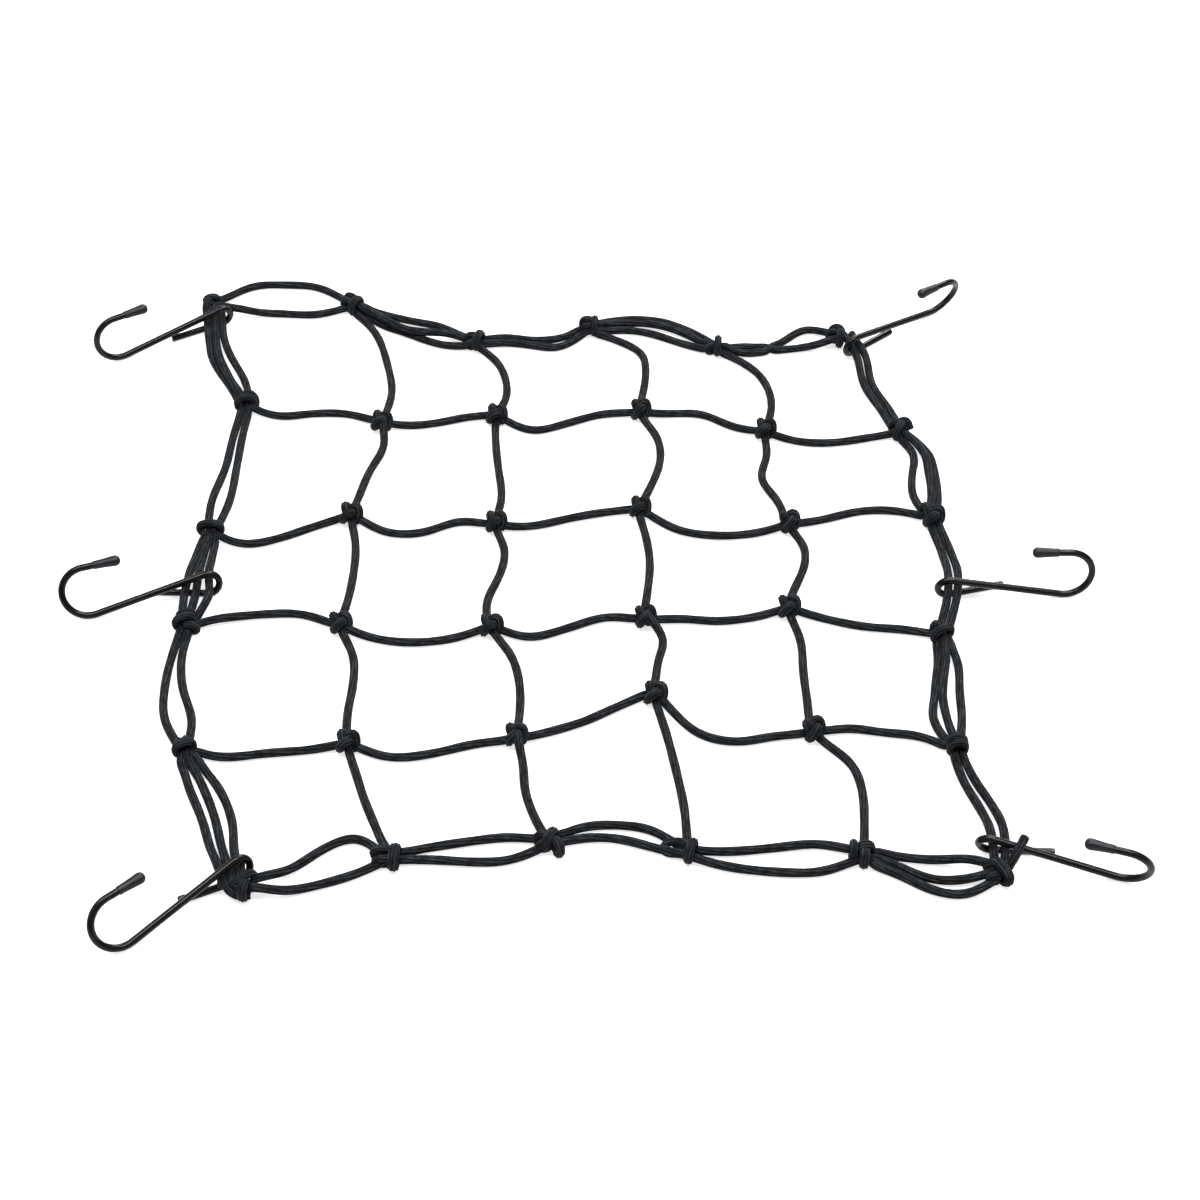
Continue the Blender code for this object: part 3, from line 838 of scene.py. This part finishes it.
knotStrands = {
    (0, 0): (Turn(0.5, 3, 10, 11.5), Turn(-1.5, -1.5, 80, 12, 4.4), Ear(1, -1, 170, 6)),
    (0, 1): (Turn(2.5, -3.5, 62, 12.5, 5.2), Ear(2, 0.6, 150, 8.6, 8.2), Ear(-0.2, -3, 150, 7.6, 8.0)),
    (0, 2): (Turn(3, -1.5, 75, 12.8, 5.2), Ear(2, 1, 180, 8.2, 7.4), Ear(2, -2.6, 182, 7.6, 5.4)),
    (0, 3): (Turn(3.6, -0.6, 88, 12.2, 4.2), Ear(2.6, 1.6, 172, 8.4, 8.4),
             Ear(2.2, -1.2, 186, 7.6, 6.6)),
    (0, 4): (Turn(2.2, -2.2, 86, 12.6, 4.2), Ear(1, -2, 200, 7, 5.6)),
    (0, 5): (Turn(0.8, -1.4, 82, 11, 4.4), Ear(0.5, 0.4, 165, 8.4, 8),
             Strand(((-4.4, 4, 4), (-3.6, 4.8, 7.4), (-0.6, 5, 8.8), (1.8, 4, 7.6), (2.6, 2, 4.6)))),
    (1, 0): (Turn(0.5, -1, 17, 13, 4.6),
             Strand(((6, -1.4, 3.4), (6.3, 1.4, 6.4), (3.8, 4, 8.2), (0.4, 4.4, 8), (-1.8, 3, 5)))),
    (1, 5): (Turn(-0.8, -2, 62, 12.2, 4.4), Ear(0, 1, 160, 7.2, 8),
             Strand(((-2, 0.4, 8), (1.2, 3, 9.2), (4.2, 3.2, 7.6), (5.8, 0.8, 4.4)))),
    (2, 0): (Turn(0, 0.5, 2, 15.4, 4.4),
             Strand(((-3, 3, 3.2), (-2.6, 0.8, 6.4), (-2.8, -2, 4.8), (-3.4, -4.4, 2.4))),
             Strand(((2.6, 3, 3.2), (1.6, 0.8, 6.6), (1.4, -2, 5), (1, -4.4, 2.4)))),
    (2, 5): (Loop(0.3, -1.8, -28, 14.1), Ear(-0.5, 1.8, 152, 6.8, 8.2)),
    (3, 0): (Turn(-1, -0.4, 20, 13, 4), Turn(-0.4, 3, 20, 11.4, 4), Ear(0, -2.6, -12, 8, 6.4)),
    (3, 5): (Turn(-0.8, -1.4, 30, 14.2, 4.6), Ear(-1.2, 1.6, 150, 6.4, 8.2)),
    (4, 0): (Turn(0, -0.4, 26, 13, 4.4), Ear(-1.4, 0, 125, 6, 8), Ear(0.8, 0.4, 100, 6, 8.2)),
    (4, 5): (Turn(0.3, 0.9, 3, 11.4, 3.8), Turn(0.3, -2.7, 6, 11.4, 3.8),
             Strand(((0.5, 8, 3.4), (0.5, 5, 6.4), (0.4, 2, 7.2), (0.4, -1, 6)))),
    (5, 0): (Turn(-1.6, 2.2, 42, 11.4, 4.6), Turn(-2.8, -3.4, 80, 10.4, 5), Ear(-1, 0, 175, 8, 7),
             Strand(((-14.6, 9, 3.8), (-13.6, 4, 6.2), (-12, 0, 6.2), (-9.4, -3.4, 4.8), (-5, -5, 3.4),
                     (0, -4.4, 3.4))),
             Strand(((-9.8, 11, 4.6), (-9.7, 7, 6.9), (-9.4, 2.8, 6.9), (-8, -0.6, 6), (-4.6, -2.2, 5),
                     (0, -2, 5))),
             Strand(((-6.6, 17, 2.8), (-5.8, 13, 5.6), (-5.2, 9, 7), (-4.4, 5, 7), (-3, 1.5, 6)))),
    (5, 1): (Turn(3.3, -2.2, 86, 14, 5.6), Ear(3, 0.9, 180, 12, 7.9), Ear(3, -3, 182, 11.2, 5.6)),
    (5, 2): (Turn(1.2, -0.6, 64, 12.4, 4.8), Turn(4.8, -5.2, 122, 9.8, 4.6), Ear(1, 0.6, 182, 8.6, 7.6),
             Ear(1, -2.8, 190, 7.4, 6)),
    (5, 3): (Turn(1.5, -1.6, 72, 13.2, 4.6),
             Strand(((1, 2.4, 5.4), (-4, 4.8, 4.8), (-9, 5.4, 3.2), (-11.4, 3, 2.2), (-9.6, 0.2, 2.2),
                     (-5, -0.8, 2.6), (1, -1.4, 3)))),
    (5, 4): (Turn(-5.2, 0.8, 88, 10, 4), Turn(0.2, 1.2, 10, 10.6, 5), Turn(-0.2, -3.8, 88, 9, 4.8)),
    (5, 5): (Turn(1.1, -0.8, 122, 16, 5.2), Ear(0, 2.2, 170, 7.4, 7.4), Ear(0, -3, 192, 7, 6)),
    (1, 1): (Loop(-0.6, -1.8, -44, 13.8),),
    (1, 2): (Loop(0, -1.4, -44, 13.6),),
    (1, 3): (Loop(0, 0, -26, 13.4),),
    (1, 4): (Loop(0, 0, -36, 13.6),),
    (2, 1): (Loop(-0.6, 0, -41, 14.5),),
    (2, 2): (Loop(0, 0, -30, 13.4),),
    (2, 3): (Loop(0, 0, -42, 13.4),),
    (2, 4): (Loop(0.4, 0, -10, 13.4),),
    (3, 1): (Loop(-0.4, 0.4, -24, 14.3, 0.91),),
    (3, 2): (Loop(-0.2, -0.4, -34, 14.1),),
    (3, 3): (Loop(-0.4, 0, -18, 13.2),),
    (3, 4): (Loop(-0.4, 0, -28, 14.1),),
    (4, 1): (Loop(0, 0, -36, 13.8),),
    (4, 2): (Loop(-0.8, 0.4, -32, 13.4),),
    (4, 3): (Loop(0, -0.4, -36, 14.1),),
    (4, 4): (Loop(-0.4, 0, -6, 13.8),),
}
knotShape = {
    "radius": 2.05,          # of the pulled cord
    "stout": 2.4,            # of a looped knot's cord
    "flat": 1.85,            # half the height of a flattened turn
    "top": 11.8,             # height of a knot
    "clear": 0.05,           # between a knot and the floor
    "step": 1.15,
    "turnSteps": 72,
    "turnAngle": 365,
    "drift": 0.5,            # of a turn's end beside its start
    "boxy": 0.78,            # power that squares a turn up, 1 for round
    "loopSteps": 96,
    "loopStart": 30,
    "loopTurns": 1.01,
    "tuck": 0.15,            # the back lobe lies this much closer in
    "tuckWay": 150,
    "curveSteps": 8,
    "shift": 40.0,           # most that a strand's ribs are moved along it
    "seed": 7,
}
earShape = (                 # share of the reach, from low (0) to top (1), and height over that
    (0, 1, -0.5), (0.35, 1, 0.5), (0.75, 1, 0), (0.97, 0.5, 0.4), (0.9, 0, 0.8), (0.55, 0, 0),
    (0.1, 0, 0.3),
)


def heading(degrees):
    return Vector((math.cos(math.radians(degrees)), math.sin(math.radians(degrees)), 0))


def boxy(value):
    return math.copysign(abs(value) ** knotShape["boxy"], value)


def turnPath(turn):
    # From under the knot over its top and back, with its two ends side by side below
    way = heading(turn.way)
    across = Vector((-way.y, way.x, 0))
    low, high = knotShape["flat"], knotShape["top"] - knotShape["flat"]
    reach = turn.length / 2 - knotShape["flat"]
    path = []
    for i in range(knotShape["turnSteps"] + 1):
        share = i / knotShape["turnSteps"] - 0.5
        phase = math.radians(90 + knotShape["turnAngle"] * share)
        z = (low + high) / 2 + (high - low) / 2 * boxy(math.sin(phase))
        path.append(Vector((turn.x, turn.y, z)) + way * reach * boxy(math.cos(phase))
                    + across * knotShape["drift"] * share)
    return path, across


def earPath(ear):
    way = heading(ear.way)
    low, high = knotShape["radius"] + knotShape["clear"], ear.top
    reach = ear.reach - knotShape["radius"]
    stops = []
    for share, rise, over in earShape:
        stops.append(Vector((ear.x, ear.y, low + (high - low) * rise + over)) + way * reach * share)
    return smoothPoints(stops, knotShape["curveSteps"])


def loopPath(loop):
    radius = knotShape["stout"]
    size = (loop.size / 2 - radius) / 3
    middle = knotShape["top"] / 2
    rise = middle - radius - knotShape["clear"]
    turned = math.radians(loop.way)
    tuckWay = math.radians(knotShape["tuckWay"])
    path = []
    for i in range(knotShape["loopSteps"] + 1):
        share = knotShape["loopTurns"] * i / knotShape["loopSteps"]
        t = math.radians(knotShape["loopStart"]) + 2 * math.pi * share
        x = size * (math.sin(t) + 2 * math.sin(2 * t))
        y = size * (math.cos(t) - 2 * math.cos(2 * t)) * loop.stretch
        tuck = 1 - knotShape["tuck"] * max(0, math.cos(math.atan2(y, x) - tuckWay)) ** 3
        x, y = x * tuck, y * tuck
        path.append(Vector((loop.x + x * math.cos(turned) - y * math.sin(turned),
                            loop.y + x * math.sin(turned) + y * math.cos(turned),
                            middle - rise * math.sin(3 * t))))
    return path


def addStrand(shape, middle, strand, chance):
    radius, across, wide = knotShape["radius"], None, 1.0
    if isinstance(strand, Turn):
        path, across = turnPath(strand)
        radius = knotShape["flat"]
        wide = strand.width / 2 / radius
    elif isinstance(strand, Ear):
        path = earPath(strand)
    elif isinstance(strand, Loop):
        path = loopPath(strand)
        radius = knotShape["stout"]
    else:
        path = smoothPoints([Vector(p) for p in strand.stops], knotShape["curveSteps"])
    line = [middle + p for p in evenPoints(path, knotShape["step"])]
    shift = chance.uniform(0, knotShape["shift"])
    addTube(shape, line, [radius] * len(line), cordShape["sides"], True, shift, across, wide)


def makeKnots():
    chance = random.Random(knotShape["seed"])
    for r, row in enumerate(knots):
        shape = bmesh.new()
        for c, knot in enumerate(row):
            for strand in knotStrands[r, c]:
                addStrand(shape, Vector((knot.x, knot.y, 0)), strand, chance)
        finishPiece(f"knots_row_{r + 1}", shape, sheath, ["net"])


cords = netCords()
easeApart(cords)
print("cords eased apart")


def makeCords():
    for name, run in cords.items():
        shape = bmesh.new()
        for n, path in enumerate(run):
            line = evenPoints(smoothPoints(path, cordShape["finishSteps"]), cordShape["step"])
            radii = [cordShape["radius"]] * len(line)
            addTube(shape, line, radii, cordShape["sides"], True, cordShape["shift"] * n)
        finishPiece(f"cord_{name}", shape, sheath, ["net"])


cutEnd = {
    "stops": ((204, -199, 6), (208.5, -194, 12.9), (213.5, -186, 16.1)),   # over the front right hook
    "steps": 10,
    "step": 0.95,
    "rim": (-0.1, 0.06, 0.1, 0.02, -0.06),   # the sealed rim stands a little proud, from the end back
    "core": 1.75,            # radius of the rubber core in the cut face
    "bevel": (0.35, 0.25),   # width and height of its two steps
    "dome": (0.5, 0.12),
    "depth": 0.8,
}


def makeCutEnd():
    path = smoothPoints([Vector(p) for p in cutEnd["stops"]], cutEnd["steps"])
    path = evenPoints(path, cutEnd["step"])
    radii = [cordShape["radius"]] * len(path)
    for i, extra in enumerate(cutEnd["rim"]):
        radii[-1 - i] += extra
    shape = bmesh.new()
    addTube(shape, path, radii, cordShape["sides"], True)
    finishPiece("cord_cut_end", shape, sheath, ["net"])
    makeCore(path[-1], (path[-1] - path[-3]).normalized())


def makeCore(place, way):
    core = bmesh.new()
    bmesh.ops.create_circle(core, cap_ends=True, segments=20, radius=cutEnd["core"] * mm)
    for width, height in (cutEnd["bevel"], cutEnd["dome"]):
        face = [f for f in core.faces if len(f.verts) > 4]
        bmesh.ops.inset_individual(core, faces=face, thickness=width * mm, depth=height * mm)
    out = bmesh.ops.extrude_edge_only(core, edges=[e for e in core.edges if e.is_boundary])
    below = [v for v in out["geom"] if isinstance(v, bmesh.types.BMVert)]
    bmesh.ops.translate(core, vec=(0, 0, -cutEnd["depth"] * mm), verts=below)
    bmesh.ops.holes_fill(core, edges=[e for e in core.edges if e.is_boundary], sides=0)
    bmesh.ops.recalc_face_normals(core, faces=core.faces)
    bmesh.ops.transform(core, matrix=standAt(place, way), verts=core.verts)
    finishPiece("cord_cut_core", core, rubberCore, ["net"])


makeKnots()
makeCords()
makeCutEnd()
print("net made")

# Hooks and caps
freeEnds = {                 # how a lower leg's cut end looks: its kind and whether the steel shows
    "back_left": ("square", False),
    "mid_left": ("point", True),
    "front_left": ("broad", True),
    "back_right": ("round", False),
    "mid_right": ("square", True),
    "front_right": ("square", True),
}
endRadii = {                 # distance from the cut end, share of the wire's radius
    "square": ((0.0, 0.78), (0.25, 0.97), (0.8, 1.0)),
    "round": ((0.0, 0.3), (0.2, 0.62), (0.6, 0.88), (1.3, 1.0)),
    "point": ((0.0, 0.35), (0.4, 0.55), (1.6, 0.8), (3.0, 1.0)),
    "broad": ((0.0, 0.9), (0.3, 1.12), (2.2, 1.12), (3.6, 1.0)),
}


def wireRadii(line, kind):
    profile = endRadii[kind]
    radii = []
    gone = 0.0
    for i, point in enumerate(line):
        if i:
            gone += (point - line[i - 1]).length
        share = profile[-1][1]
        for (a, first), (b, second) in zip(profile, profile[1:]):
            if a <= gone < b:
                share = first + (second - first) * (gone - a) / (b - a)
                break
        radii.append(hookShape["wireRadius"] * share)
    return radii


def makeHook(place, hook):
    line = hookLine(hook)
    tip = line[-1]
    way = (tip - line[-2]).normalized()
    line[-1] = tip - way * (hookShape["capLength"] - hookShape["socket"] + hookShape["gap"])
    kind, bare = freeEnds[place]
    even = evenPoints(line, hookShape["step"])
    leg = (line[1] - line[0]).length
    path = [line[0].lerp(line[1], away / leg) for away in hookShape["endRings"]]
    path += [p for p in even if (p - line[0]).length > hookShape["endReach"]]
    shape = bmesh.new()
    radii = wireRadii(path, kind)
    path = [p + up * max(0, r - hookShape["wireRadius"]) for p, r in zip(path, radii)]
    addTube(shape, path, radii, hookShape["sides"])
    material = cutWire if bare else coatedWire
    finishPiece(f"wire_{place}", shape, material, [f"hook_{place}"])
    makeCap(place, tip, way)


capShape = {
    "profile": (             # height from the mouth, radius
        (0.0, 1.88), (0.0, 2.04), (0.2, 2.17), (0.6, 2.22), (2.5, 2.26), (5.0, 2.38), (8.0, 2.6),
        (10.2, 2.8), (11.3, 2.86), (12.2, 2.7), (12.9, 2.34), (13.5, 1.76), (13.85, 1.06), (13.98, 0.5),
        (14.0, 0.0),
    ),
    "bore": 1.88,
    "sides": 40,
}


def makeCap(place, tip, way):
    shape = bmesh.new()
    outline = [(capShape["bore"], hookShape["socket"]), *((r, z) for z, r in capShape["profile"])]
    line = [shape.verts.new((0, 0, hookShape["socket"] * mm))]
    line += [shape.verts.new((r * mm, 0, z * mm)) for r, z in outline]
    for pair in zip(line, line[1:]):
        shape.edges.new(pair)
    bmesh.ops.spin(shape, geom=shape.verts[:] + shape.edges[:], cent=(0, 0, 0), axis=(0, 0, 1),
                   angle=2 * math.pi, steps=capShape["sides"], use_merge=True)
    bmesh.ops.remove_doubles(shape, verts=shape.verts, dist=1e-6)
    bmesh.ops.recalc_face_normals(shape, faces=shape.faces)
    mouth = tip - way * hookShape["capLength"]
    bmesh.ops.transform(shape, matrix=standAt(mouth, way), verts=shape.verts)
    finishPiece(f"dipped_cap_{place}", shape, capPlastic, [f"cap_{place}"])


for place, hook in hooks.items():
    makeHook(place, hook)
print("hooks and caps made")

# Floor and light
studio = {
    "floor": (0.4, 0.4, 0.4),
    "floorGlow": 0.7,        # lit from below as well, so shadows stay faint
    "roughness": 0.9,
    "floorHalf": 30.0,       # half its side, in metres
    "floorDrop": 0.0001,     # just under the part
    "wallAway": 29.0,        # pale wall all round, for views from low down
    "wallHeight": 20.0,
    "wallGlow": 1.0,
    "world": (0.96, 0.98, 1.0),
    "horizon": 0.12,         # strength of the world's light low down
    "zenith": 0.8,           # and from here up to overhead
    "zenithFrom": 0.6,
    "front": 0.62,           # its share at the front and at the back
    "back": 1.3,
    "areas": (               # place in metres, width, depth, power
        ((0.0, -0.2, 2.2), 2.8, 0.4, 105.0),
        ((0.5, 1.6, 1.4), 1.2, 0.8, 60.0),
    ),
}


def makePale(name, colour, glow):
    mat, _, shader = newMaterial(name)
    shader.inputs["Base Color"].default_value = (*colour, 1.0)
    shader.inputs["Roughness"].default_value = studio["roughness"]
    shader.inputs["Specular IOR Level"].default_value = 0.0
    shader.inputs["Emission Color"].default_value = (1.0, 1.0, 1.0, 1.0)
    shader.inputs["Emission Strength"].default_value = glow
    return mat


def makeFloor():
    shape = bmesh.new()
    bmesh.ops.create_grid(shape, x_segments=2, y_segments=2, size=studio["floorHalf"])
    floor = placeShape("floor", shape, makePale("pale floor", studio["floor"], studio["floorGlow"]))
    floor.location.z = -studio["floorDrop"]


def makeBackdrop():
    # Seen by the camera alone, so it casts no light and no shade
    shape = bmesh.new()
    bmesh.ops.create_cone(shape, segments=64, radius1=studio["wallAway"], radius2=studio["wallAway"],
                          depth=studio["wallHeight"])
    wall = placeShape("backdrop", shape, makePale("pale wall", (0.0, 0.0, 0.0), studio["wallGlow"]))
    wall.visible_diffuse = False
    wall.visible_glossy = False
    wall.visible_transmission = False
    wall.visible_shadow = False


def makeWorld():
    world = bpy.data.worlds.new("studio")
    world.use_nodes = True
    sky = world.node_tree
    light = sky.nodes["Background"]
    light.inputs["Color"].default_value = (*studio["world"], 1.0)
    apart = axes(sky, sky.nodes.new("ShaderNodeTexCoord").outputs["Generated"])
    high = spread(sky, apart[2], 0.0, studio["zenithFrom"], studio["horizon"], studio["zenith"])
    far = spread(sky, apart[1], -1.0, 1.0, studio["front"], studio["back"])
    sky.links.new(times(sky, high, far), light.inputs["Strength"])
    bpy.context.scene.world = world


def makeLamps():
    for n, (place, width, depth, power) in enumerate(studio["areas"]):
        data = bpy.data.lights.new(f"soft_{n}", "AREA")
        data.shape = "RECTANGLE"
        data.size = width
        data.size_y = depth
        data.energy = power
        lamp = bpy.data.objects.new(f"soft_{n}", data)
        bpy.context.scene.collection.objects.link(lamp)
        lamp.location = place
        lamp.rotation_euler = (-Vector(place)).to_track_quat("-Z", "Y").to_euler()


makeFloor()
makeBackdrop()
makeWorld()
makeLamps()
bpy.context.scene.view_settings.view_transform = "Standard"
print("studio made")
